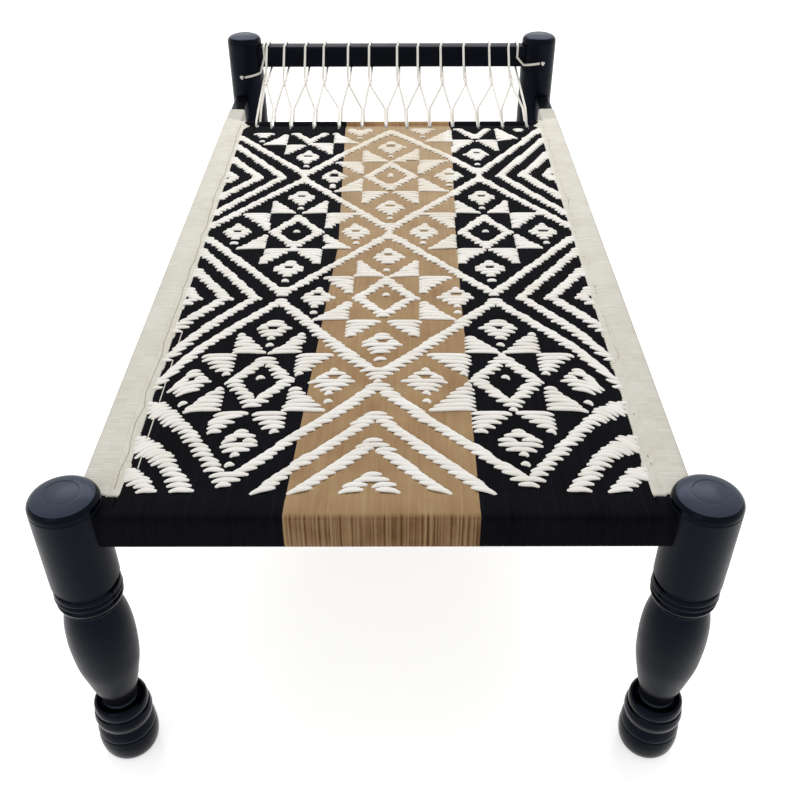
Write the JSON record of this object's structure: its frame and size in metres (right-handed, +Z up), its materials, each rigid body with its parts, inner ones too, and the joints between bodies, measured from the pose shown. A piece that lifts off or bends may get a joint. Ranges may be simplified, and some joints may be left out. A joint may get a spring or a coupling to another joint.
{
  "type": "charpai rope bed",
  "caption": "Rope bed with turned wooden legs, a raised head rail, a woven cotton bed and a laced tension rod at the head end.",
  "frame": {"origin": "on the floor, at the middle of the bed's plan", "axes": "+Z up, +Y along the bed from the foot end to the raised head rail, +X to the right seen from the foot end"},
  "size_m": [0.9108, 1.8398, 0.657],
  "materials": {
    "lacquered_wood": "near-black lacquer, glossy",
    "cream_cotton": "matt twisted cotton",
    "black_cotton": "matt twisted cotton",
    "tan_cotton": "matt twisted cotton",
    "white_cord": "matt laid cotton cord",
    "steel": "plain round bar"
  },
  "bodies": {
    "root": {"leg_foot_left": "lacquered_wood", "leg_foot_right": "lacquered_wood", "leg_head_left": "lacquered_wood", "leg_head_right": "lacquered_wood", "side_rail_left": "lacquered_wood", "side_rail_right": "lacquered_wood", "foot_rail": "lacquered_wood", "head_rail": "lacquered_wood", "weft_wrap_left": "cream_cotton", "weft_wrap_right": "cream_cotton", "end_wrap_left": "cream_cotton", "end_wrap_right": "cream_cotton", "foot_rail_wrap_left": "black_cotton", "foot_rail_wrap_right": "black_cotton", "warp_band_left": "black_cotton", "warp_band_middle": "tan_cotton", "warp_band_right": "black_cotton", "tension_rod": "steel", "lacing_cord": "white_cord", "lacing_knot_left": "white_cord", "lacing_knot_right": "white_cord"}
  },
  "joints": []
}
